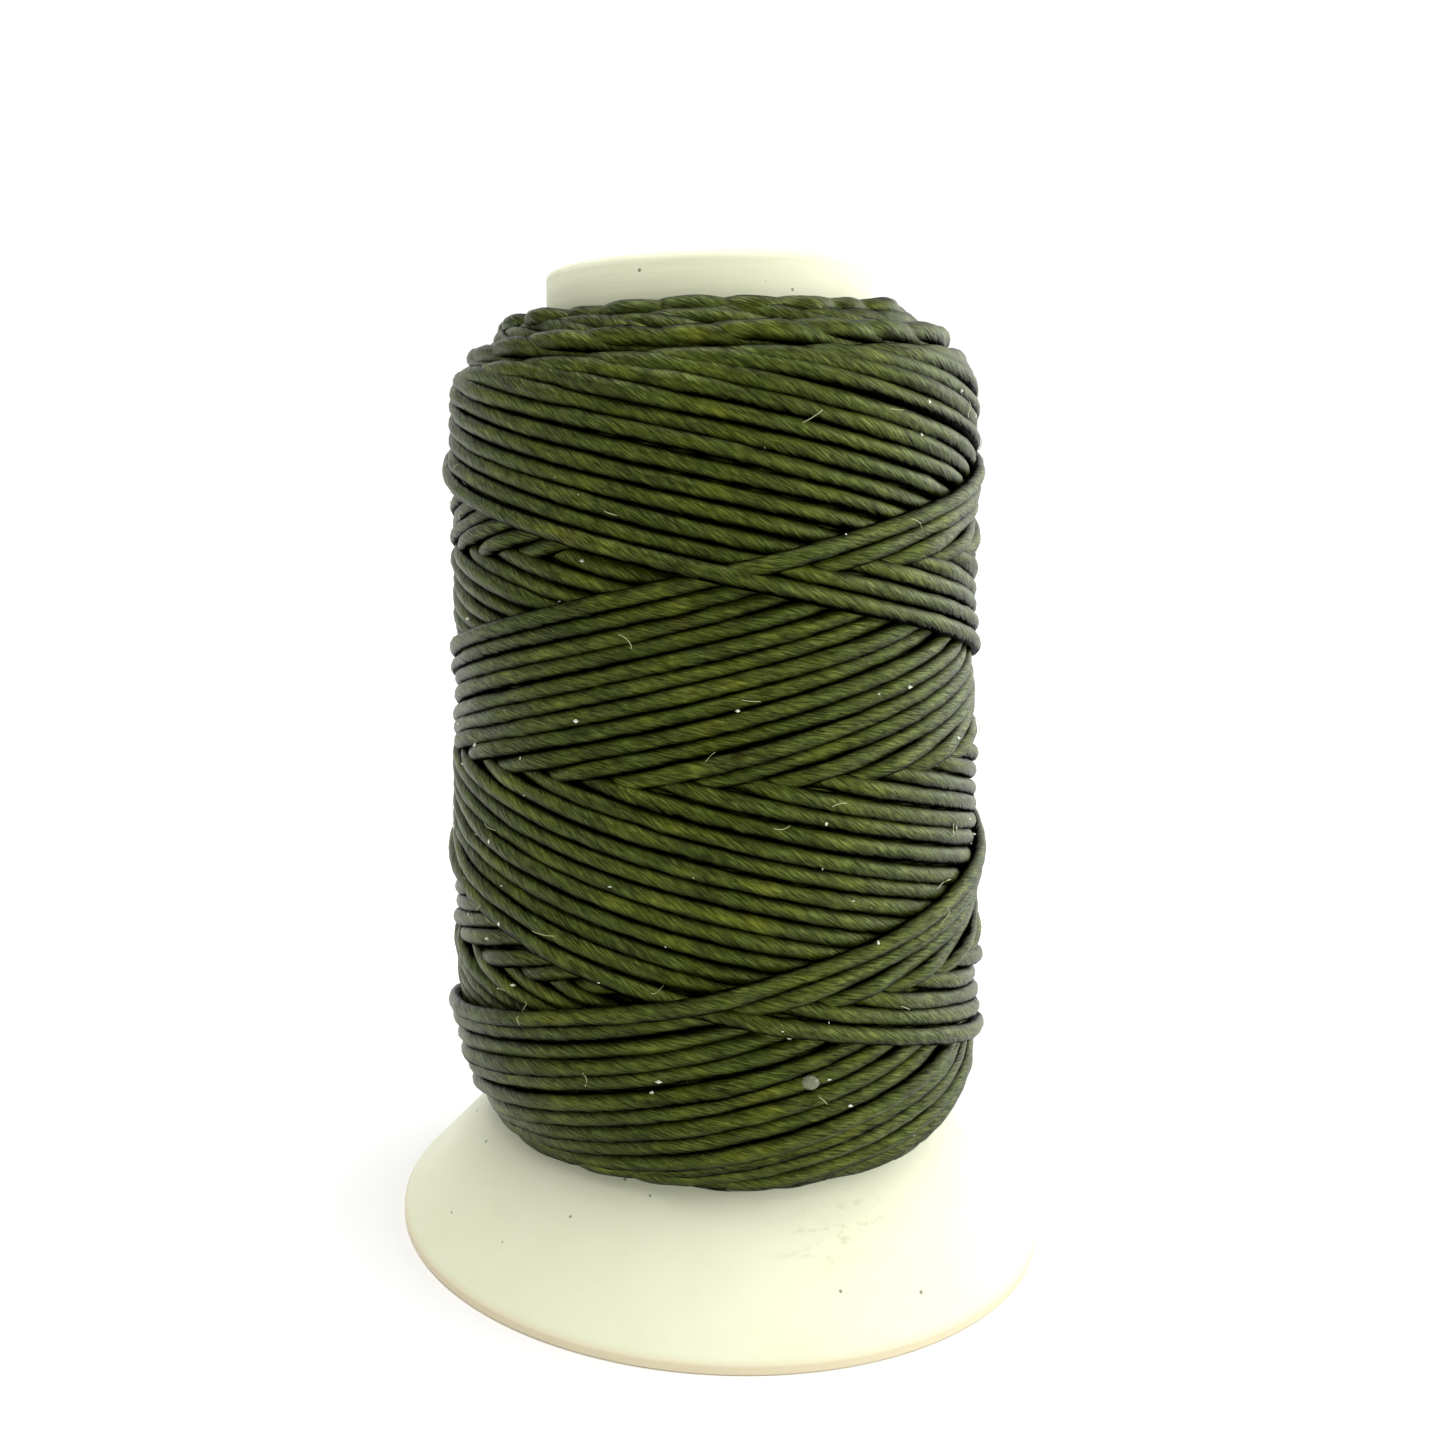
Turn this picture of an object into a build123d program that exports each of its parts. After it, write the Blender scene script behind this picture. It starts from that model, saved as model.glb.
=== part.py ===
"""Waxed thread spool: a moulded plastic spool with a flared foot, wound with 1 mm waxed thread.

Frame: millimetres, +Z up, origin at the centre of the foot's rim on the surface it stands on.
The spool is one hollow moulding on the real object. It is kept here as its simple walls (tube,
flared foot, spindle sleeve and ribs), which meet face to face. The winding is one continuous thread,
kept as two nested packages: the covered turns and the last-laid turns round them.
"""

import os
from math import cos, radians, tan

from build123d import *

os.makedirs("parts", exist_ok=True)

# Driving dimensions of the plastic spool
HEIGHT = 59.2
FOOT_RADIUS = 20.0
FOOT_SLOPE = 46.3  # degrees above level
RIM_EDGE_HEIGHT = 0.55
RIM_EDGE_ROUND = 0.14
WALL = 1.2
TUBE_TOP_RADIUS = 9.95
TUBE_ROOT_RADIUS = 10.35
TUBE_RIM_ROUND = 0.5

SPINDLE_BORE_RADIUS = 4.0
SLEEVE_WALL = 1.0
SLEEVE_BOTTOM = 6.5
SLEEVE_RECESS = 1.8  # how far the sleeve stops below the tube's rim
SLEEVE_CHAMFER = 0.4
RIB_COUNT = 4
FIRST_RIB_ANGLE = 45
RIB_THICKNESS = 1.1
RIB_RECESS = 2.6
RIB_BOTTOM = 12.5

# Driving dimensions of the winding
THREAD_DIAMETER = 1.0
PACK_RADIUS = 16.4
PACK_TOP = 56.5
PACK_RESTING_RADIUS = 13.8  # where the outermost turn lies on the foot
LAST_TURNS_DEPTH = 2 * THREAD_DIAMETER

# Worked out from them
SLOPE = tan(radians(FOOT_SLOPE))
ROOT_HEIGHT = RIM_EDGE_HEIGHT + (FOOT_RADIUS - TUBE_ROOT_RADIUS) * SLOPE
TUBE_TAPER = (TUBE_ROOT_RADIUS - TUBE_TOP_RADIUS) / (HEIGHT - ROOT_HEIGHT)
TUBE_ROOT_BORE = TUBE_ROOT_RADIUS - WALL
CONE_WALL_RUN = WALL / cos(radians(90 - FOOT_SLOPE))  # the cone wall's thickness, measured level
RIM_INNER_RADIUS = FOOT_RADIUS + RIM_EDGE_HEIGHT / SLOPE - CONE_WALL_RUN
SLEEVE_RADIUS = SPINDLE_BORE_RADIUS + SLEEVE_WALL
SLEEVE_TOP = HEIGHT - SLEEVE_RECESS
RIB_TOP = HEIGHT - RIB_RECESS


def tube_radius(height):
    """Outer radius of the tapered tube at a height."""
    return TUBE_TOP_RADIUS + (HEIGHT - height) * TUBE_TAPER


def foot_height(radius):
    """Height of the foot's outer cone at a radius."""
    return RIM_EDGE_HEIGHT + (FOOT_RADIUS - radius) * SLOPE


# Spool tube: a tapered tube of even wall, open at both ends, with a rounded upper rim
with BuildPart() as spool_tube:
    with BuildSketch(Plane.XZ):
        with BuildLine():
            Polyline(
                (TUBE_ROOT_BORE, ROOT_HEIGHT),
                (TUBE_ROOT_RADIUS, ROOT_HEIGHT),
                (TUBE_TOP_RADIUS, HEIGHT),
                (TUBE_TOP_RADIUS - WALL, HEIGHT),
                close=True,
            )
        make_face()
    revolve(axis=Axis.Z)
    rim_edges = spool_tube.edges().group_by(Axis.Z)[-1]
    fillet(rim_edges, TUBE_RIM_ROUND)
spool_tube.part.label = "spool_tube"

# Flared foot: a thin cone shell with an upright rim edge, open underneath
with BuildPart() as flared_foot:
    with BuildSketch(Plane.XZ):
        with BuildLine():
            Polyline(
                (RIM_INNER_RADIUS, 0),
                (FOOT_RADIUS, 0),
                (FOOT_RADIUS, RIM_EDGE_HEIGHT),
                (TUBE_ROOT_RADIUS, ROOT_HEIGHT),
                (TUBE_ROOT_BORE, ROOT_HEIGHT),
                (TUBE_ROOT_BORE, (RIM_INNER_RADIUS - TUBE_ROOT_BORE) * SLOPE),
                close=True,
            )
        make_face()
    revolve(axis=Axis.Z)
    widest_edges = flared_foot.edges().filter_by(GeomType.CIRCLE).sort_by(SortBy.RADIUS)[-2:]
    fillet(widest_edges, RIM_EDGE_ROUND)
flared_foot.part.label = "flared_foot"

# Spindle sleeve: the inner tube that slides over a spindle or spool pin
with BuildPart() as spindle_sleeve:
    with BuildSketch(Plane.XY.offset(SLEEVE_BOTTOM)):
        Circle(SLEEVE_RADIUS)
        Circle(SPINDLE_BORE_RADIUS, mode=Mode.SUBTRACT)
    extrude(amount=SLEEVE_TOP - SLEEVE_BOTTOM)
    bore_mouths = spindle_sleeve.edges().filter_by(GeomType.CIRCLE).sort_by(SortBy.RADIUS)[:2]
    chamfer(bore_mouths, SLEEVE_CHAMFER)
spindle_sleeve.part.label = "spindle_sleeve"

# Ribs: four thin webs that hold the sleeve in the middle of the tube
ribs = []
for number in range(RIB_COUNT):
    angle = FIRST_RIB_ANGLE + 360 / RIB_COUNT * number
    with BuildPart() as rib:
        with BuildSketch(Plane.XY.offset(RIB_BOTTOM)):
            with PolarLocations(0, 1, start_angle=angle):
                Rectangle(FOOT_RADIUS, RIB_THICKNESS, align=(Align.MIN, Align.CENTER))
            Circle(SLEEVE_RADIUS, mode=Mode.SUBTRACT)
        extrude(amount=RIB_TOP - RIB_BOTTOM)
        # trim the rib's outer end to the tapered bore
        with BuildSketch(Plane.XZ):
            with BuildLine():
                Polyline(
                    (tube_radius(RIB_BOTTOM) - WALL, RIB_BOTTOM),
                    (tube_radius(RIB_TOP) - WALL, RIB_TOP),
                    (2 * FOOT_RADIUS, RIB_TOP),
                    (2 * FOOT_RADIUS, RIB_BOTTOM),
                    close=True,
                )
            make_face()
        revolve(axis=Axis.Z, mode=Mode.SUBTRACT)
    rib.part.label = f"sleeve_rib_{number + 1}"
    ribs.append(rib)


def package_section(depth):
    """Half section of the wound package, or of the part of it that lies under that depth of thread."""
    resting = PACK_RESTING_RADIUS - depth
    outer = PACK_RADIUS - depth
    top = PACK_TOP - depth / 2
    seat = foot_height(resting)
    FilletPolyline(
        (resting, seat),
        (outer - 1.0, seat + 0.3),
        (outer, seat + 4.5),
        (outer, top - 4.9),
        (outer - 2.1, top - 1.5),
        (tube_radius(top), top),
        radius=[0.5, 6.0, 2.5, 2.5],
    )
    Polyline((tube_radius(top), top), (TUBE_ROOT_RADIUS, ROOT_HEIGHT), (resting, seat))


# Covered turns: the package under the last-laid turns
with BuildPart() as thread_inner_winding:
    with BuildSketch(Plane.XZ):
        with BuildLine():
            package_section(LAST_TURNS_DEPTH)
        make_face()
    revolve(axis=Axis.Z)
thread_inner_winding.part.label = "thread_inner_winding"

# Last-laid turns: the shell of thread that shows, wrapped round the covered turns
with BuildPart() as thread_outer_winding:
    with BuildSketch(Plane.XZ):
        with BuildLine():
            package_section(0)
        make_face()
    revolve(axis=Axis.Z)
    add(thread_inner_winding.part, mode=Mode.SUBTRACT)
thread_outer_winding.part.label = "thread_outer_winding"

pieces = [spool_tube, flared_foot, spindle_sleeve, *ribs, thread_inner_winding, thread_outer_winding]
for piece in pieces:
    export_step(piece.part, f"parts/{piece.part.label}.step")
    print(piece.part.label, round(piece.part.volume), "mm3")
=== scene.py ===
"""Looks of the waxed thread spool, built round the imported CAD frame.

The thread is laid turn by turn, as the winding machine lays it: each pass rests on the turns under
it, so the crossings, chevrons and steps of the package come out of the order of winding.
The winding is worked out in millimetres. Blender points are in metres.
"""

import math

import bmesh
import bpy
import numpy as np
from mathutils import Euler, Matrix, Vector


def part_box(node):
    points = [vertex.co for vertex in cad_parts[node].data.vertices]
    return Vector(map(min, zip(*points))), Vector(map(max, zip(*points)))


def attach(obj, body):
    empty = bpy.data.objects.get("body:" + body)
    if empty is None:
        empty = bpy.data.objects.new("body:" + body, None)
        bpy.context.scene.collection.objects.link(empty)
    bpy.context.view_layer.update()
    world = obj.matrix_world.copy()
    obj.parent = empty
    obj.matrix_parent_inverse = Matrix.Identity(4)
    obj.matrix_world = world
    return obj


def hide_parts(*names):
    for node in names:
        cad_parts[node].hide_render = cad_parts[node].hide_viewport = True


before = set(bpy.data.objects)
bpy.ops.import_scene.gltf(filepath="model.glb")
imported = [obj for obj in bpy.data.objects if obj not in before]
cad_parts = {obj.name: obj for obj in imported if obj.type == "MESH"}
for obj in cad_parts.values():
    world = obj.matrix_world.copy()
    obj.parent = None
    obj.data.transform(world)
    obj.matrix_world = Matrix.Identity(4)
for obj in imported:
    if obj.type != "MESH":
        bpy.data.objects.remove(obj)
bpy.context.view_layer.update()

MM = 0.001
TURN = 2 * math.pi
SEED = 7

# Plastic spool, read from the frame
foot_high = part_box("flared_foot")[1] / MM
tube_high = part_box("spool_tube")[1] / MM
FOOT_RADIUS = foot_high.x
ROOT_HEIGHT = foot_high.z
ROOT_RADIUS = tube_high.x
HEIGHT = tube_high.z
TUBE_TOP_RADIUS = 9.95
RIM_EDGE = 0.55
CONE_SLOPE = (ROOT_HEIGHT - RIM_EDGE) / (FOOT_RADIUS - ROOT_RADIUS)

# Thread
THREAD_DIAMETER = 1.0
STRAND_WIDTH = 1.05
STRAND_THICKNESS = 0.88
TWIST = math.radians(25)
CROWN = 0.545  # share of the way round the strand at which its painted highlight is centred, a little off the middle towards the upper side, so that the lower side takes painted shade

# Winding
ADVANCE = 24.0  # height gained in a turn
PITCH = 1.04  # height between neighbouring strands
STRANDS = round(ADVANCE / PITCH)  # double passes that cover the spool once
COVERS = 4
DOUBLE_PASSES = COVERS * STRANDS
PASS_TURNS = 4 - 1 / STRANDS  # turns in one pass down and up
LAST_BOTTOM = 0.486  # azimuth, in turns, of the last reversal at the foot
TAIL_TURNS = 1.01  # how far up its last pass the thread ends
TUCK_TURNS = 0.05  # over which its end is tucked in
BOTTOM_ROUNDING = 0.045  # turns over which a reversal is rounded
TOP_ROUNDING = 0.055
FIRST_TOP_ROUNDING = 0.04
LAST_TOP = 52.1  # height of the last reversals below the spool's top
LAST_FOOT = 7.8  # and above its foot
FIRST_TOP = 56.0
CORE_RADIUS = 10.1
BODY_RADIUS = 16.2
# outer profile of the finished package: height, radius
PROFILE = (
    (6.6, 13.7),
    (7.8, 14.7),
    (9.2, 15.4),
    (10.5, 15.9),
    (12.5, 16.35),
    (18.0, 16.4),
    (25.0, 16.3),
    (36.0, 15.95),
    (46.0, 16.05),
    (51.3, 16.05),
    (53.0, 15.35),
    (54.5, 14.35),
    (55.6, 13.1),
    (56.6, 11.4),
)
FLECKS = 170
FLECK_SIZE = (0.04, 0.18)  # smallest, and how much larger the largest is
FLECK_HEIGHTS = (8.5, 53.0)
STRAYS = 90
STRAY_RADIUS = 0.022
STRAY_HEIGHTS = (9, 52)
STRAY_LENGTHS = (0.8, 2.4)
STRAY_LIFT = 0.25
STRAY_POINTS = 9
RUB_AZIMUTH = 0.075  # brown rubs on the foot, in turns from the front
BEAD_AZIMUTH = 0.052
BEAD_HEIGHT = 14.1
BEAD_SIZE = (0.48, 0.25, 0.4)
# the thread lies slacker, and so rounder, where it turns back at the top
SLACK_SWELL = 0.17
SLACK_HEIGHT = 51.0
SLACK_RISE = 1.6
STEPS_PER_TURN = 720
ROUTE_POINTS_PER_TURN = 48
PROUDEST = 1.3  # the thread is under tension: it sinks between the turns of a pile
PASS_SETTLE = 0.6  # how firmly each double pass is pressed to the profile
LAST_SETTLE = 0.6
WANDER = 0.08  # how far a pass sits off its place
WAVER = 0.045  # and how far it strays along its way
REST_SHARE = 0.66  # share of the strand's half width that rests on the turns below
STAMP_SHARE = 0.86  # and the share that it fills
SWELL_NOISE = 0.035
ROLL_NOISE = 0.16  # radians
LOBES = 3  # plies in the strand
LOBE_DEPTH = 0.03
SIDES = 12
BURIED = 0.35  # a ring this far under the surface isn't seen
BURIED_STRIDE = 6


def tube_radius(height):
    """Outer radius of the tapered tube at a height."""
    share = (HEIGHT - height) / (HEIGHT - ROOT_HEIGHT)
    return TUBE_TOP_RADIUS + (ROOT_RADIUS - TUBE_TOP_RADIUS) * share


def cone_radius(height):
    """Outer radius of the foot's cone at a height."""
    return FOOT_RADIUS - (height - RIM_EDGE) / CONE_SLOPE


def smooth_noise(rng, count, spacing, size):
    """Seeded random values that change smoothly, with a new value every so many steps."""
    knots = rng.normal(0, size, count // spacing + 4)
    place = np.arange(count) / spacing
    low = np.floor(place).astype(int)
    share = place - low
    share = share * share * (3 - 2 * share)
    return knots[low] * (1 - share) + knots[low + 1] * share


def upper_hull(along, height):
    """The taut line over a row of supports: their upper convex hull, read at every point."""
    kept = [0]
    for i in range(1, len(along)):
        while len(kept) > 1:
            a, b = kept[-2], kept[-1]
            rise_to_last = (height[b] - height[a]) * (along[i] - along[a])
            rise_to_next = (height[i] - height[a]) * (along[b] - along[a])
            if rise_to_last > rise_to_next:
                break
            kept.pop()
        kept.append(i)
    return np.interp(along, along[kept], height[kept])


class Package:
    """The wound surface, unrolled: its radius over azimuth and height."""

    COLUMNS = 720
    ROW = 0.1
    LOWEST = 4.0
    BLUR = 1.2

    def __init__(self):
        rows = int((HEIGHT - self.LOWEST) / self.ROW)
        self.heights = self.LOWEST + self.ROW * np.arange(rows)
        self.core = np.maximum(tube_radius(self.heights), cone_radius(self.heights))
        self.radius = np.tile(self.core, (self.COLUMNS, 1))
        self.profile = np.interp(self.heights, *zip(*PROFILE))
        waves_up = np.fft.rfftfreq(rows, self.ROW)
        waves_round = np.fft.fftfreq(self.COLUMNS, TURN * BODY_RADIUS / self.COLUMNS)
        blur = (math.pi * self.BLUR) ** 2
        self.broad = np.exp(-blur * (4 * waves_round[:, None] ** 2 + waves_up[None, :] ** 2))

    def aim(self, share):
        """The profile that the package grows to at a share of its winding."""
        body = CORE_RADIUS + (BODY_RADIUS - CORE_RADIUS) * share
        return np.maximum(np.minimum(self.profile, body) if share < 1 else self.profile, self.core)

    def cell(self, azimuth, height):
        """Grid indices of points given by azimuth in turns and height."""
        column = np.rint(np.asarray(azimuth) * self.COLUMNS).astype(int) % self.COLUMNS
        row = np.rint((height - self.LOWEST) / self.ROW).astype(int)
        return column, np.clip(row, 0, len(self.heights) - 1)

    def settle(self, share, firmness, azimuth, height, radius):
        """Press the package towards its profile at a share of its winding, and the thread with it."""
        proud = self.radius - self.aim(share)
        push = -firmness * np.fft.irfft2(np.fft.rfft2(proud) * self.broad, proud.shape)
        push = np.where(self.radius > self.core + 0.1, push, 0)
        cell = self.cell(azimuth, height)
        depth = (radius - self.core[cell[1]]) / np.maximum(self.radius[cell] - self.core[cell[1]], 0.3)
        moved = radius + push[cell] * np.clip(depth, 0, 1)
        self.radius = np.maximum(self.radius + push, self.core)
        return moved


def rest(package, azimuth, height, around):
    """How far out the surface below carries the thread's centre at each point of a chunk."""
    half_width, half_thick = STRAND_WIDTH / 2, STRAND_THICKNESS / 2
    slope = np.gradient(height, azimuth * around)
    norm = np.sqrt(1 + slope * slope)
    across = -slope / norm / around, 1 / norm
    support = np.zeros(len(azimuth))
    for offset in np.linspace(-REST_SHARE, REST_SHARE, 7):
        reach = offset * half_width
        below = package.radius[package.cell(azimuth + reach * across[0], height + reach * across[1])]
        support = np.maximum(support, below + half_thick * math.sqrt(1 - offset * offset))
    return support, across


def stamp(package, azimuth, height, centre, across):
    """Raise the package's surface to the top of a laid chunk."""
    half_width, half_thick = STRAND_WIDTH / 2, STRAND_THICKNESS / 2
    for offset in np.linspace(-STAMP_SHARE, STAMP_SHARE, 13):
        reach = offset * half_width
        cell = package.cell(azimuth + reach * across[0], height + reach * across[1])
        np.maximum.at(package.radius, cell, centre + half_thick * math.sqrt(1 - offset * offset))


def traverse(turns, share, rng):
    """Height of the thread guide at each turn count: to and fro, rounded where it turns back."""
    top = FIRST_TOP - (FIRST_TOP - LAST_TOP) * share**1.8
    grown = CORE_RADIUS + (BODY_RADIUS - CORE_RADIUS) * share
    bottom = np.maximum(RIM_EDGE + (FOOT_RADIUS - grown) * CONE_SLOPE + 0.45, LAST_FOOT)
    late = np.clip(4 * share - 3, 0, 1)
    top_rounding = FIRST_TOP_ROUNDING + (TOP_ROUNDING - FIRST_TOP_ROUNDING) * late
    sharp_top = top + ADVANCE * top_rounding
    sharp_bottom = bottom - ADVANCE * BOTTOM_ROUNDING
    phase = turns % PASS_TURNS
    from_bottom = np.minimum(phase, PASS_TURNS - phase)
    from_top = PASS_TURNS / 2 - from_bottom
    rate = (sharp_top - sharp_bottom) / (PASS_TURNS / 2)
    lift = np.sqrt(from_bottom**2 + BOTTOM_ROUNDING**2) - from_bottom
    drop = np.sqrt(from_top**2 + top_rounding**2) - from_top
    # uneven lay: each pass sits a little off its place, and wanders along its way
    wander = smooth_noise(rng, len(turns), int(STEPS_PER_TURN * PASS_TURNS / 2), WANDER)
    wander += smooth_noise(rng, len(turns), STEPS_PER_TURN // 8, WAVER)
    return sharp_bottom + rate * (from_bottom + lift - drop) + wander


def wind():
    """Wind the whole thread: azimuth in turns, height and radius from start to end."""
    rng = np.random.default_rng(SEED)
    total = DOUBLE_PASSES * PASS_TURNS + TAIL_TURNS
    turns = np.arange(int(total * STEPS_PER_TURN) + 1) / STEPS_PER_TURN
    azimuth = turns + LAST_BOTTOM - DOUBLE_PASSES * PASS_TURNS
    height = traverse(turns, turns / total, rng)
    radius = np.zeros(len(turns))
    package = Package()
    chunk, ahead = STEPS_PER_TURN // 4, STEPS_PER_TURN // 6
    pass_steps = PASS_TURNS * STEPS_PER_TURN
    passes_laid = 0
    last = CORE_RADIUS + STRAND_THICKNESS / 2
    waiting = None
    for first in range(0, len(turns), chunk):
        end = min(first + chunk, len(turns))
        seen = slice(first, min(end + ahead, len(turns)))
        support, across = rest(package, azimuth[seen], height[seen], last * TURN)
        proudest = package.aim(end / len(turns))[package.cell(0, height[seen])[1]] + PROUDEST
        support = np.minimum(support, proudest)
        along = (turns[seen] - turns[first]) * TURN * last
        support[0] = max(support[0], last)
        curved = along * along / (2 * last)
        taut = upper_hull(along, support - curved) + curved
        count = end - first
        radius[first:end] = taut[:count]
        last = taut[min(count, len(taut) - 1)]
        if waiting:
            stamp(package, *waiting)
        waiting = azimuth[first:end], height[first:end], taut[:count], [a[:count] for a in across]
        if end > (passes_laid + 1) * pass_steps:
            passes_laid += 1
            top = slice(max(0, int(end - STRANDS * pass_steps)), end)
            share = end / len(turns)
            radius[top] = package.settle(share, PASS_SETTLE, azimuth[top], height[top], radius[top])
    stamp(package, *waiting)
    radius = package.settle(1.0, LAST_SETTLE, azimuth, height, radius)
    # the tail is tucked in between the turns
    tucked = np.clip((turns - total) / TUCK_TURNS + 1, 0, 1)
    radius = radius - STRAND_THICKNESS * tucked * tucked * (3 - 2 * tucked)
    return azimuth, height, radius, package


def in_space(azimuth, height, radius):
    """Points in metres from azimuth in turns, counted from the front, height and radius."""
    angle = azimuth * TURN
    return np.stack([radius * np.sin(angle), -radius * np.cos(angle), height], axis=1) * MM


def spline_points(name, route):
    """Points read along a smooth NURBS spline that has the route as its control points."""
    curve = bpy.data.curves.new(name, "CURVE")
    curve.dimensions = "3D"
    curve.resolution_u = 4
    spline = curve.splines.new("NURBS")
    spline.points.add(len(route) - 1)
    spline.points.foreach_set("co", np.column_stack([route, np.ones(len(route))]).ravel())
    spline.order_u = 3
    spline.use_endpoint_u = True
    holder = bpy.data.objects.new(name, curve)
    line = bpy.data.meshes.new_from_object(holder)
    points = np.empty(len(line.vertices) * 3)
    line.vertices.foreach_get("co", points)
    bpy.data.objects.remove(holder)
    bpy.data.curves.remove(curve)
    bpy.data.meshes.remove(line)
    return points.reshape(-1, 3)


def unit(vectors):
    return vectors / np.linalg.norm(vectors, axis=1, keepdims=True)


def strand(name, points, distance, rng):
    """An oval twisted strand round a line of points, lying flat on the package."""
    tangent = unit(np.gradient(points, axis=0))
    outward = points * (1, 1, 0)
    outward = unit(outward - (outward * tangent).sum(axis=1, keepdims=True) * tangent)
    side = np.cross(tangent, outward)
    count = len(points)
    swell = 1 + np.interp(distance, *even_noise(rng, distance[-1], 1.5, SWELL_NOISE))
    swell += np.interp(distance, *even_noise(rng, distance[-1], 6.0, SWELL_NOISE))
    height = points[:, 2] / MM
    swell += SLACK_SWELL * np.clip((height - SLACK_HEIGHT) / SLACK_RISE, 0, 1)
    roll = np.interp(distance, *even_noise(rng, distance[-1], 9.0, ROLL_NOISE))
    angle = np.arange(SIDES) * TURN / SIDES
    twisted = distance * 2 * LOBES * math.tan(TWIST) / THREAD_DIAMETER
    size = (1 + LOBE_DEPTH * np.cos(LOBES * angle[None, :] + twisted[:, None])) * swell[:, None]
    reach = STRAND_WIDTH / 2 * np.sin(angle)[None, :] * size
    rise = -STRAND_THICKNESS / 2 * np.cos(angle)[None, :] * size
    turned_side = np.cos(roll)[:, None] * side + np.sin(roll)[:, None] * outward
    turned_out = np.cos(roll)[:, None] * outward - np.sin(roll)[:, None] * side
    spread = reach[..., None] * turned_side[:, None] + rise[..., None] * turned_out[:, None]
    ring = points[:, None, :] + spread * MM
    corner = np.arange(count * SIDES).reshape(count, SIDES)
    a, b = corner[:-1], corner[1:]
    quads = np.stack([a, np.roll(a, -1, 1), np.roll(b, -1, 1), b], axis=-1).reshape(-1, 4)
    mesh = bpy.data.meshes.new(name)
    caps = [corner[0][::-1], corner[-1]]
    loops = np.concatenate([quads.ravel(), *caps])
    starts = np.concatenate([np.arange(len(quads)) * 4, len(quads) * 4 + np.array([0, SIDES])])
    mesh.vertices.add(count * SIDES)
    mesh.vertices.foreach_set("co", ring.ravel())
    mesh.loops.add(len(loops))
    mesh.loops.foreach_set("vertex_index", loops)
    mesh.polygons.add(len(starts))
    mesh.polygons.foreach_set("loop_start", starts)
    mesh.polygons.foreach_set("use_smooth", np.ones(len(starts), bool))
    mesh.update(calc_edges=True)
    # place on the strand: millimetres round it from its hidden side, and millimetres along it
    step = (STRAND_WIDTH + STRAND_THICKNESS) / 2 * math.pi / SIDES
    around = np.tile(np.array([0, 1, 1, 0]), len(quads)) * step
    around += np.repeat(np.tile(np.arange(SIDES), count - 1), 4) * step
    along = distance[loops[: len(quads) * 4] // SIDES]
    place = np.zeros((len(loops), 2))
    place[: len(around)] = np.column_stack([around, along])
    place[len(around) :] = (SIDES / 2 * step, 0)
    layer = mesh.uv_layers.new(name="strand")
    layer.data.foreach_set("uv", place.ravel())
    mesh.validate()
    piece = bpy.data.objects.new(name, mesh)
    bpy.context.scene.collection.objects.link(piece)
    return piece


def even_noise(rng, length, spacing, size):
    """Places along a length and a seeded random value at each."""
    places = np.arange(0, length + 2 * spacing, spacing)
    return places, rng.normal(0, size, len(places))


def thread_pieces():
    """The thread in two lengths: the turns that are covered, and the last, outer turns."""
    azimuth, height, radius, package = wind()
    stride = STEPS_PER_TURN // ROUTE_POINTS_PER_TURN
    outside = 1 / math.cos(math.pi / ROUTE_POINTS_PER_TURN)  # the spline runs inside its control points
    route = in_space(azimuth, height, radius * outside)[::stride]
    points = spline_points("thread_route", route)
    steps = np.linalg.norm(np.diff(points, axis=0), axis=1)
    distance = np.concatenate([[0], np.cumsum(steps)]) / MM
    reach = np.hypot(points[:, 0], points[:, 1]) / MM
    angle = np.arctan2(points[:, 0], -points[:, 1]) / TURN
    surface = package.radius[package.cell(angle, points[:, 2] / MM)]
    seen = reach + STRAND_THICKNESS / 2 > surface - BURIED
    # fine rings where the thread shows, and a margin beside them; coarse ones where it's buried
    near = np.convolve(seen, np.ones(9), mode="same") > 0
    index = np.arange(len(points))
    kept = near | (index % BURIED_STRIDE == 0)
    last_cover = (COVERS - 1) * STRANDS * PASS_TURNS
    split = int(last_cover * STEPS_PER_TURN / stride / (len(route) - 1) * (len(points) - 1))
    kept[[0, split, len(points) - 1]] = True
    rng = np.random.default_rng(SEED + 1)
    made = []
    for name, low, high, far_end in (
        ("thread_covered_turns", 0, split, "object"),
        ("thread_last_turns", split, len(points) - 1, "bare"),
    ):
        picked = index[low : high + 1][kept[low : high + 1]]
        piece = strand(name, points[picked], distance[picked], rng)
        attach(piece, "root")
        made.append(piece)
    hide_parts("thread_inner_winding")
    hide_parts("thread_outer_winding")
    return made, package


def on_package(package, turns, height, lift):
    """Points on the package's surface, or lifted a little off it."""
    turns, height = np.atleast_1d(turns), np.atleast_1d(height)
    return in_space(turns, height, package.radius[package.cell(turns, height)] + lift)


def add_fleck(package, rng, corners, faces):
    """A crumb of wax with six corners, sunk a little into the thread."""
    centre = on_package(package, rng.uniform(0, 1), rng.uniform(*FLECK_HEIGHTS), -0.03)[0]
    smallest, spread = FLECK_SIZE
    size = (smallest + spread * rng.uniform(0, 1, 3) ** 1.5) * MM
    first = len(corners)
    for axis in range(3):
        for way in (-1, 1):
            corner = np.array(centre)
            corner[axis] += way * size[axis]
            corners.append(corner)
    for x in (0, 1):
        for y in (2, 3):
            for z in (4, 5):
                faces.append([first + x, first + y, first + z][:: 1 if (x + y + z) % 2 else -1])


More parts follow.
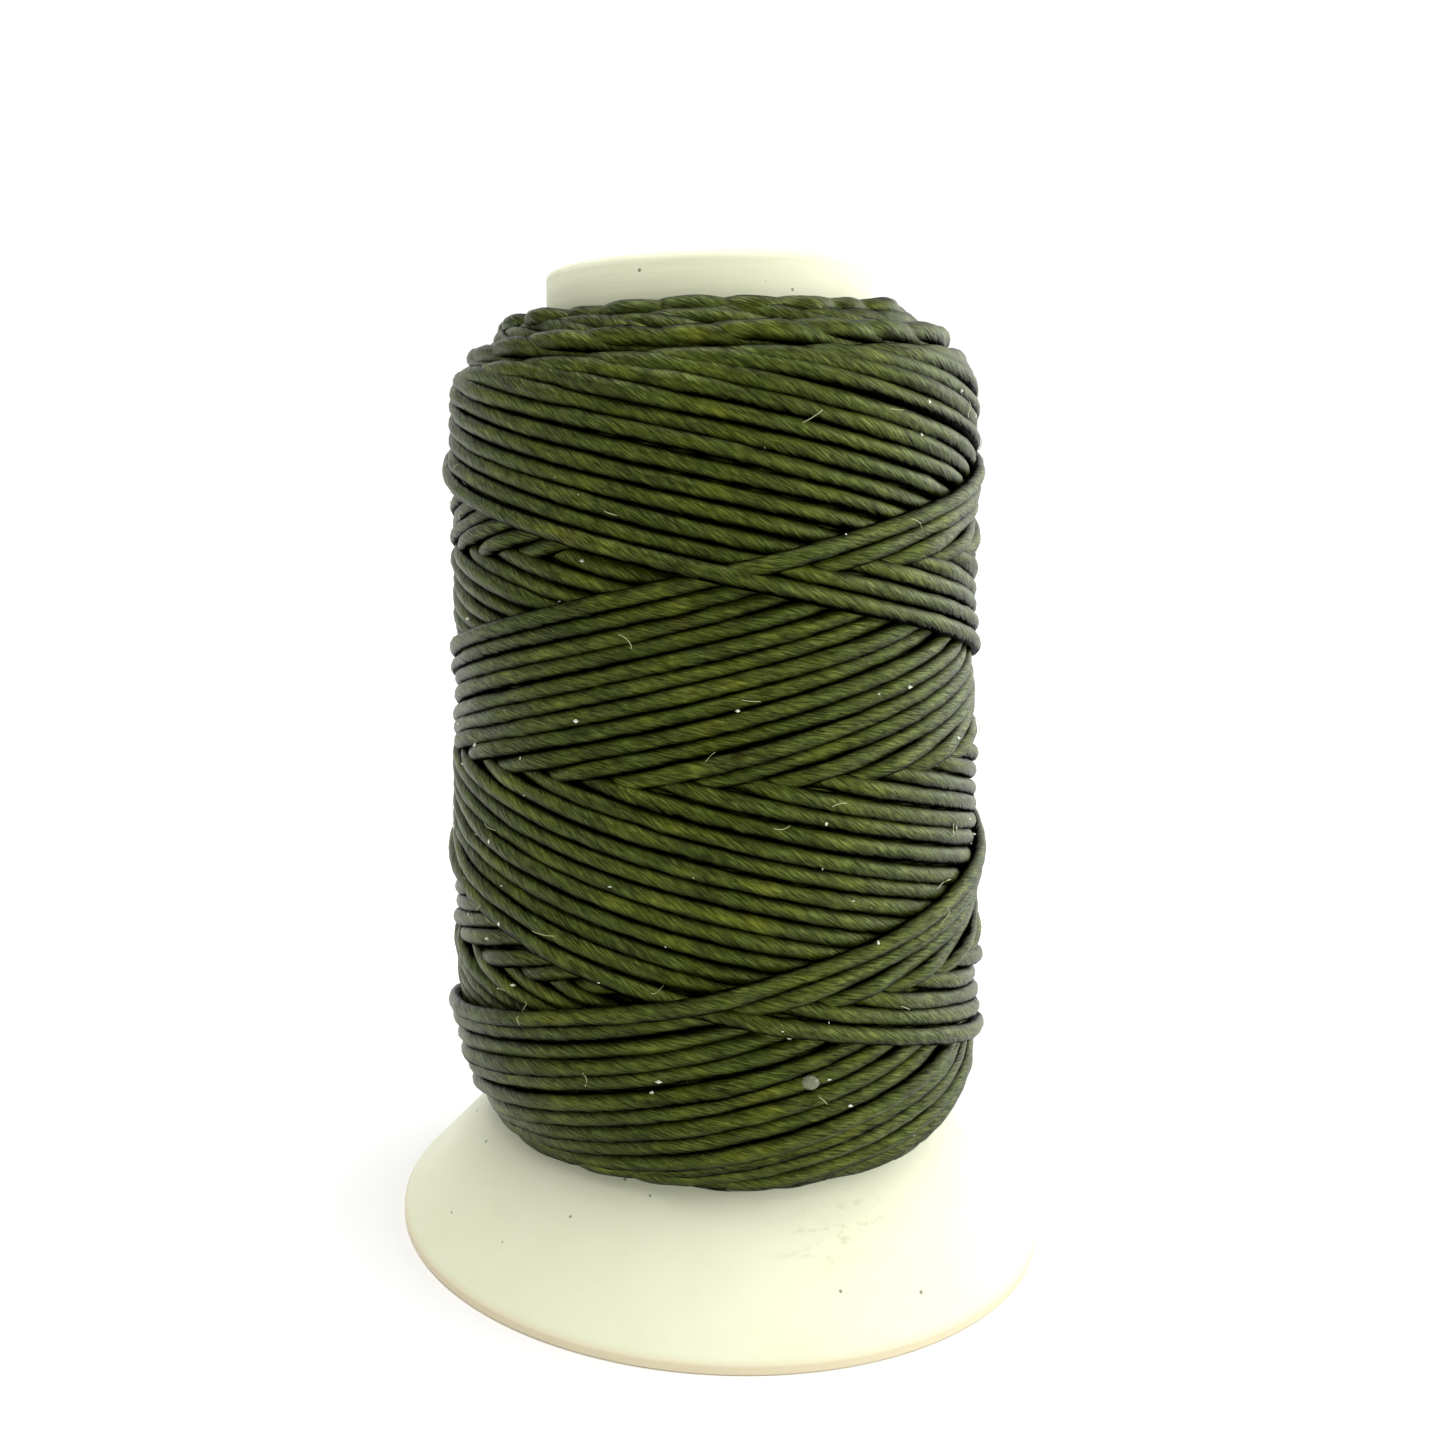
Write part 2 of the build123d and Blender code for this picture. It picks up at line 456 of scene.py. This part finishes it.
def stray_line(package, rng):
    """A short bent line that leaves the surface in its middle."""
    turns, height = rng.uniform(0, 1), rng.uniform(*STRAY_HEIGHTS)
    heading, bend = rng.normal(0, 0.5), rng.normal(0, 1.2)
    length, lift = rng.uniform(*STRAY_LENGTHS), rng.uniform(0.0, STRAY_LIFT)
    share = np.linspace(0, 1, STRAY_POINTS)
    way = heading + bend * share
    forward = np.cumsum(np.cos(way)) * length / STRAY_POINTS
    upward = np.cumsum(np.sin(way)) * length / STRAY_POINTS
    off = 0.03 + lift * np.sin(math.pi * share)
    line = on_package(package, turns + forward / (BODY_RADIUS * TURN), height + upward, off)
    return (line + np.roll(line, 1, 0) + np.roll(line, -1, 0))[1:-1] / 3


def add_stray(package, rng, corners, faces):
    """A stray filament: a three-sided tube along a short bent line."""
    line = stray_line(package, rng)
    tangent = unit(np.gradient(line, axis=0))
    outward = unit(line * (1, 1, 0))
    side = np.cross(tangent, outward)
    first = len(corners)
    for point, out, across in zip(line, outward, side):
        for angle in (0.5, 0.5 + TURN / 3, 0.5 + 2 * TURN / 3):
            spoke = out * math.cos(angle) + across * math.sin(angle)
            corners.append(point + spoke * STRAY_RADIUS * MM)
    for i in range(len(line) - 1):
        for j in range(3):
            a, b = first + 3 * i + j, first + 3 * i + (j + 1) % 3
            faces.append([a, b, b + 3, a + 3])


def litter(package):
    """Flecks of wax and stray fibres caught on the outer turns."""
    rng = np.random.default_rng(SEED + 2)
    corners, faces = [], []
    for _ in range(FLECKS):
        add_fleck(package, rng, corners, faces)
    fleck_faces = len(faces)
    for _ in range(STRAYS):
        add_stray(package, rng, corners, faces)
    mesh = bpy.data.meshes.new("thread_lint")
    mesh.from_pydata(corners, [], faces)
    mesh.materials.append(plain_material("wax_fleck", (0.75, 0.76, 0.62), 0.5))
    mesh.materials.append(plain_material("stray_fibre", (0.42, 0.44, 0.22), 0.4))
    for face in mesh.polygons:
        face.material_index = 0 if face.index < fleck_faces else 1
    return rooted("thread_lint", mesh)


def wax_bead(package):
    """A clear bead of wax that has run and set low on the front."""
    mesh = bpy.data.meshes.new("wax_bead")
    form = bmesh.new()
    bmesh.ops.create_uvsphere(form, u_segments=24, v_segments=14, radius=1.0)
    form.to_mesh(mesh)
    form.free()
    mesh.shade_smooth()
    centre = on_package(package, BEAD_AZIMUTH, BEAD_HEIGHT, 0.05)[0]
    size = Matrix.Diagonal([side * MM for side in BEAD_SIZE] + [1])
    mesh.transform(Matrix.Translation(centre) @ size)
    material, tree, shader = new_material("clear_wax")
    shader.inputs["Base Color"].default_value = (0.60, 0.64, 0.42, 1)
    shader.inputs["Roughness"].default_value = 0.1
    shader.inputs["Transmission Weight"].default_value = 0.75
    shader.inputs["IOR"].default_value = 1.43
    mesh.materials.append(material)
    return rooted("wax_bead", mesh)


def rooted(name, mesh):
    """A new small piece on the thread, carried by the body."""
    piece = bpy.data.objects.new(name, mesh)
    bpy.context.scene.collection.objects.link(piece)
    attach(piece, "root")
    return piece


# Materials


def new_material(name):
    material = bpy.data.materials.new(name)
    material.use_nodes = True
    return material, material.node_tree, material.node_tree.nodes["Principled BSDF"]


def plain_material(name, colour, roughness):
    material, tree, shader = new_material(name)
    shader.inputs["Base Color"].default_value = (*colour, 1)
    shader.inputs["Roughness"].default_value = roughness
    return material


def math_node(tree, operation, a, b=None):
    node = tree.nodes.new("ShaderNodeMath")
    node.operation = operation
    for socket, value in zip(node.inputs, (a, b)):
        if isinstance(value, (int, float)):
            socket.default_value = value
        elif value is not None:
            tree.links.new(value, socket)
    return node.outputs[0]


def noise(tree, vector, scale, detail=2.0, roughness=0.5, distortion=0.0):
    node = tree.nodes.new("ShaderNodeTexNoise")
    node.inputs["Scale"].default_value = scale
    node.inputs["Detail"].default_value = detail
    node.inputs["Roughness"].default_value = roughness
    node.inputs["Distortion"].default_value = distortion
    tree.links.new(vector, node.inputs["Vector"])
    return node.outputs["Fac"]


def ramp(tree, fac, stops):
    """A colour ramp from (position, colour) stops."""
    node = tree.nodes.new("ShaderNodeValToRGB")
    elements = node.color_ramp.elements
    elements[0].position, elements[0].color = stops[0][0], (*stops[0][1], 1)
    elements[1].position, elements[1].color = stops[-1][0], (*stops[-1][1], 1)
    for position, colour in stops[1:-1]:
        elements.new(position).color = (*colour, 1)
    tree.links.new(fac, node.inputs["Fac"])
    return node.outputs["Color"]


def mix(tree, fac, a, b, blend="MIX"):
    node = tree.nodes.new("ShaderNodeMix")
    node.data_type = "RGBA"
    node.blend_type = blend
    for socket, value in ((node.inputs[0], fac), (node.inputs[6], a), (node.inputs[7], b)):
        if isinstance(value, (int, float)):
            socket.default_value = value
        elif isinstance(value, tuple):
            socket.default_value = (*value, 1)
        else:
            tree.links.new(value, socket)
    return node.outputs[2]


def vector_of(tree, x, y, z=0.0):
    node = tree.nodes.new("ShaderNodeCombineXYZ")
    for socket, value in zip(node.inputs, (x, y, z)):
        if isinstance(value, (int, float)):
            socket.default_value = value
        else:
            tree.links.new(value, socket)
    return node.outputs[0]


def ease(tree, value, start, end):
    """0 where a value is at the start, rising smoothly to 1 at the end."""
    node = tree.nodes.new("ShaderNodeMapRange")
    node.interpolation_type = "SMOOTHSTEP"
    limits = (start, end, 0.0, 1.0) if start < end else (end, start, 1.0, 0.0)
    for socket, limit in zip(node.inputs[1:5], limits):
        socket.default_value = limit
    tree.links.new(value, node.inputs["Value"])
    return node.outputs["Result"]


def times(tree, a, b):
    return math_node(tree, "MULTIPLY", a, b)


def scaled(tree, split, *scales):
    return [times(tree, split.outputs[i], scale) for i, scale in enumerate(scales)]


def fade(tree, fac, start, end):
    """Black to white over part of a value's range."""
    return ramp(tree, fac, [(start, (0, 0, 0)), (end, (1, 1, 1))])


def bump_of(tree, shader, height, strength, distance):
    bump = tree.nodes.new("ShaderNodeBump")
    bump.inputs["Strength"].default_value = strength
    bump.inputs["Distance"].default_value = distance * MM
    tree.links.new(height, bump.inputs["Height"])
    tree.links.new(bump.outputs["Normal"], shader.inputs["Normal"])


def fibre_noises(tree, around, along):
    """Streaks along the twisted fibres: single filaments, and bundles of them."""

    def turned(first, second, sine):
        """A place turned by the twist: across the fibres, or along them."""
        straight = times(tree, first, math.cos(TWIST))
        return math_node(tree, "ADD", straight, times(tree, second, sine))

    across_fibre = turned(around, along, math.sin(TWIST))
    along_fibre = turned(along, around, -math.sin(TWIST))

    def streaks(per_mm, stretch, detail):
        """So many to a millimetre, each so many times as long as it is wide."""
        across = times(tree, across_fibre, per_mm)
        length = times(tree, along_fibre, per_mm / stretch)
        return noise(tree, vector_of(tree, across, length), 1.0, detail, 0.6, 0.5)

    return streaks(11.0, 10.0, 3.0), streaks(3.4, 7.0, 2.0)


def dye_and_painted_highlights(tree, around, along, fine, bundle):
    """Uneven olive dye, streaked along the fibres, with lighter and darker streaks along the strand
    that are partly random tone and partly painted highlights.
    """
    patch = noise(tree, vector_of(tree, times(tree, along, 0.13), 0.0), 1.0, 3.0, 0.7)
    dye = [
        (0.32, (0.017, 0.014, 0.001)),
        (0.43, (0.015, 0.024, 0.002)),
        (0.55, (0.027, 0.034, 0.002)),
        (0.70, (0.064, 0.071, 0.005)),
    ]
    colour = ramp(tree, patch, dye)
    filaments = [(0.32, (0.50, 0.50, 0.50)), (0.50, (0.95, 0.95, 0.95)), (0.68, (2.0, 2.0, 1.8))]
    colour = mix(tree, 0.7, colour, ramp(tree, fine, filaments), "MULTIPLY")
    strips = [(0.36, (0.55, 0.53, 0.50)), (0.62, (1.4, 1.4, 1.3))]
    colour = mix(tree, 0.5, colour, ramp(tree, bundle, strips), "MULTIPLY")
    # lighter and darker streaks along the strand: partly random tone, the lighter ones painted
    # highlights
    drawn = vector_of(tree, times(tree, around, 2.2), times(tree, along, 0.35))
    streaks_and_painted_highlights = [(0.36, (0.40, 0.37, 0.33)), (0.62, (1.5, 1.55, 1.45))]
    return mix(tree, 0.8, colour, ramp(tree, noise(tree, drawn, 1.0, 3.0, 0.6), streaks_and_painted_highlights), "MULTIPLY")


def painted_shade_and_highlight(tree, around, bundle):
    """Painted shade, darkening towards the creases between turns unevenly, and a painted highlight on
    each strand's crown.
    """
    girth = (STRAND_WIDTH + STRAND_THICKNESS) / 2 * math.pi
    from_crown = math_node(tree, "ABSOLUTE", math_node(tree, "SUBTRACT", around, CROWN * girth))
    ragged = times(tree, math_node(tree, "SUBTRACT", bundle, 0.5), 0.16)
    edge = math_node(tree, "SUBTRACT", math_node(tree, "DIVIDE", from_crown, girth), ragged)
    # painted shade and highlight: from a brightened crown (1.2) down to near black in the creases
    shade_and_highlight = [
        (0.02, (1.2, 1.2, 1.2)),
        (0.09, (0.9, 0.9, 0.9)),
        (0.15, (0.42, 0.40, 0.37)),
        (0.20, (0.01, 0.01, 0.01)),
    ]
    return ramp(tree, edge, shade_and_highlight)


def thread_material():
    material, tree, shader = new_material("waxed_polyester")
    place = tree.nodes.new("ShaderNodeUVMap")
    place.uv_map = "strand"
    split = tree.nodes.new("ShaderNodeSeparateXYZ")
    tree.links.new(place.outputs["UV"], split.inputs[0])
    around, along = split.outputs[0], split.outputs[1]
    fine, bundle = fibre_noises(tree, around, along)
    # painted shade in the creases and a painted highlight on each strand's crown, multiplied into the
    # colour
    painted_shading = painted_shade_and_highlight(tree, around, bundle)
    colour = mix(tree, 1.0, dye_and_painted_highlights(tree, around, along, fine, bundle), painted_shading, "MULTIPLY")
    tree.links.new(colour, shader.inputs["Base Color"])
    shader.inputs["Roughness"].default_value = 0.38
    shader.inputs["IOR"].default_value = 1.46
    shader.inputs["Specular Tint"].default_value = (0.84, 1.0, 0.28, 1)
    # bare filaments glint where the wax is thin
    glints = [(0.36, (0.14, 0.14, 0.14)), (0.52, (0.55, 0.55, 0.55)), (0.64, (1.0, 1.0, 1.0))]
    gloss = mix(tree, 1.0, painted_shading, ramp(tree, fine, glints), "MULTIPLY")
    tree.links.new(gloss, shader.inputs["Specular IOR Level"])
    relief = math_node(tree, "ADD", times(tree, bundle, 1.1), fine)
    bump_of(tree, shader, relief, 0.75, 0.08)
    return material


def end_scuffs(tree, split, height, colour):
    """The tube's end is scuffed round and round, and rubbed grey."""
    scuffs = noise(tree, vector_of(tree, *scaled(tree, split, 90.0, 90.0, 2400.0)), 1.0, 3.0, 0.7)
    end = ease(tree, height, HEIGHT - 3.2, HEIGHT - 0.8)
    rubbed = times(tree, fade(tree, scuffs, 0.46, 0.72), times(tree, end, 0.25))
    return mix(tree, rubbed, colour, (0.56, 0.53, 0.40))


def foot_rubs(tree, split, height, colour):
    """Brown rubs on the foot's front, below the pack."""
    toward_front = times(tree, split.outputs[1], -1.0)
    angle = math_node(tree, "ARCTAN2", split.outputs[0], toward_front)
    apart = math_node(tree, "ABSOLUTE", math_node(tree, "SUBTRACT", angle, RUB_AZIMUTH * TURN))
    region = times(tree, ease(tree, apart, 0.32, 0.05), ease(tree, height, 7.0, 5.4))
    region = times(tree, region, ease(tree, height, 3.4, 4.6))
    flow = vector_of(tree, *scaled(tree, split, 900.0, 900.0, 2600.0))
    rubs = fade(tree, noise(tree, flow, 1.0, 4.0, 0.7), 0.53, 0.66)
    return mix(tree, times(tree, rubs, times(tree, region, 0.45)), colour, (0.52, 0.44, 0.26))


def dirt_specks(tree, place, colour):
    specks = tree.nodes.new("ShaderNodeTexVoronoi")
    specks.inputs["Scale"].default_value = 480.0
    tree.links.new(place, specks.inputs["Vector"])
    spotted = ramp(tree, specks.outputs["Distance"], [(0.040, (1, 1, 1)), (0.060, (0, 0, 0))])
    return mix(tree, times(tree, spotted, 0.8), colour, (0.10, 0.10, 0.05))


def plastic_material():
    material, tree, shader = new_material("cream_plastic")
    place = tree.nodes.new("ShaderNodeTexCoord").outputs["Object"]
    split = tree.nodes.new("ShaderNodeSeparateXYZ")
    tree.links.new(place, split.inputs[0])
    height = math_node(tree, "DIVIDE", split.outputs[2], MM)
    cloud = noise(tree, place, 160.0, 4.0, 0.6)
    colour = ramp(tree, cloud, [(0.3, (0.775, 0.80, 0.56)), (0.7, (0.83, 0.845, 0.62))])
    # the rim's edge has yellowed
    edge = fade(tree, ease(tree, height, RIM_EDGE + 0.35, RIM_EDGE - 0.15), 0.0, 1.0)
    colour = mix(tree, edge, colour, (0.76, 0.67, 0.45))
    colour = end_scuffs(tree, split, height, colour)
    colour = foot_rubs(tree, split, height, colour)
    colour = dirt_specks(tree, place, colour)
    tree.links.new(colour, shader.inputs["Base Color"])
    shader.inputs["Roughness"].default_value = 0.5
    shader.inputs["Specular IOR Level"].default_value = 0.4
    shader.inputs["Subsurface Weight"].default_value = 0.1
    shader.inputs["Subsurface Radius"].default_value = (0.003, 0.003, 0.002)
    shader.inputs["Subsurface Scale"].default_value = 1.0
    bump_of(tree, shader, noise(tree, place, 2600.0, 2.0), 0.25, 0.03)
    return material


def dress_plastic():
    material = plastic_material()
    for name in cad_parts:
        if not name.startswith("thread"):
            piece = bpy.data.objects[name]
            piece.data.materials.clear()
            piece.data.materials.append(material)


# Studio


def camera():
    """The photo's view: near, a little above, with the lens shifted and rolled."""
    data = bpy.data.cameras.new("camera")
    piece = bpy.data.objects.new("camera", data)
    bpy.context.scene.collection.objects.link(piece)
    bpy.context.scene.camera = piece
    data.sensor_width = 36.0
    data.lens = 37.955
    data.shift_x = 0.127
    data.shift_y = -0.083
    data.clip_start = 0.005
    piece.location = Vector((0.0, -95.93, 47.63)) * MM
    pitch, yaw, roll = 0.092, -0.112, -0.016
    turn = Euler((math.pi / 2 - pitch, 0.0, -yaw), "XYZ").to_matrix()
    roll_about_view = Euler((0.0, 0.0, roll), "XYZ").to_matrix()
    piece.rotation_euler = (turn @ roll_about_view).to_euler("XYZ")


def paper_floor():
    reach = 3.0
    corners = [(-reach, -reach, 0), (reach, -reach, 0), (reach, reach, 0), (-reach, reach, 0)]
    mesh = bpy.data.meshes.new("floor")
    mesh.from_pydata(corners, [], [(0, 1, 2, 3)])
    floor = bpy.data.objects.new("floor", mesh)
    bpy.context.scene.collection.objects.link(floor)
    material, tree, shader = new_material("white_paper")
    shader.inputs["Base Color"].default_value = (0.93, 0.93, 0.93, 1)
    shader.inputs["Roughness"].default_value = 0.9
    shader.inputs["Specular IOR Level"].default_value = 0.0
    mesh.materials.append(material)


def backdrop():
    """White behind, a bright window to the right, a dim room in front and to the left."""
    world = bpy.data.worlds.new("studio")
    world.use_nodes = True
    tree = world.node_tree
    direction = tree.nodes.new("ShaderNodeTexCoord").outputs["Generated"]
    split = tree.nodes.new("ShaderNodeSeparateXYZ")
    tree.links.new(direction, split.inputs[0])
    east, north, up = split.outputs
    behind = times(tree, ease(tree, north, -0.75, 0.35), ease(tree, east, -0.8, -0.45))
    # pale all round near the horizon, which is all that a camera sees of it
    skirting = times(tree, ease(tree, up, 0.27, 0.17), 0.75)
    pale = math_node(tree, "MAXIMUM", behind, skirting)
    room = math_node(tree, "ADD", times(tree, pale, 0.86), 0.16)
    window = times(tree, ease(tree, east, 0.50, 0.75), ease(tree, up, 0.7, 0.3))
    brightness = math_node(tree, "ADD", room, times(tree, window, 2.7))
    tree.links.new(brightness, tree.nodes["Background"].inputs["Strength"])
    tree.nodes["Background"].inputs["Color"].default_value = (1, 1, 1, 1)
    bpy.context.scene.world = world


def sun(name, strength, degrees, come_from):
    data = bpy.data.lights.new(name, "SUN")
    data.energy = strength
    data.angle = math.radians(degrees)
    light = bpy.data.objects.new(name, data)
    light.rotation_euler = Vector(come_from).to_track_quat("Z", "Y").to_euler()
    bpy.context.scene.collection.objects.link(light)


camera()
made, package = thread_pieces()
litter(package)
wax_bead(package)
thread = thread_material()
for piece in made:
    piece.data.materials.append(thread)
dress_plastic()
paper_floor()
backdrop()
sun("top_softbox", 2.1, 56, (0.0, -0.15, 1.0))
bpy.context.scene.view_settings.view_transform = "Standard"
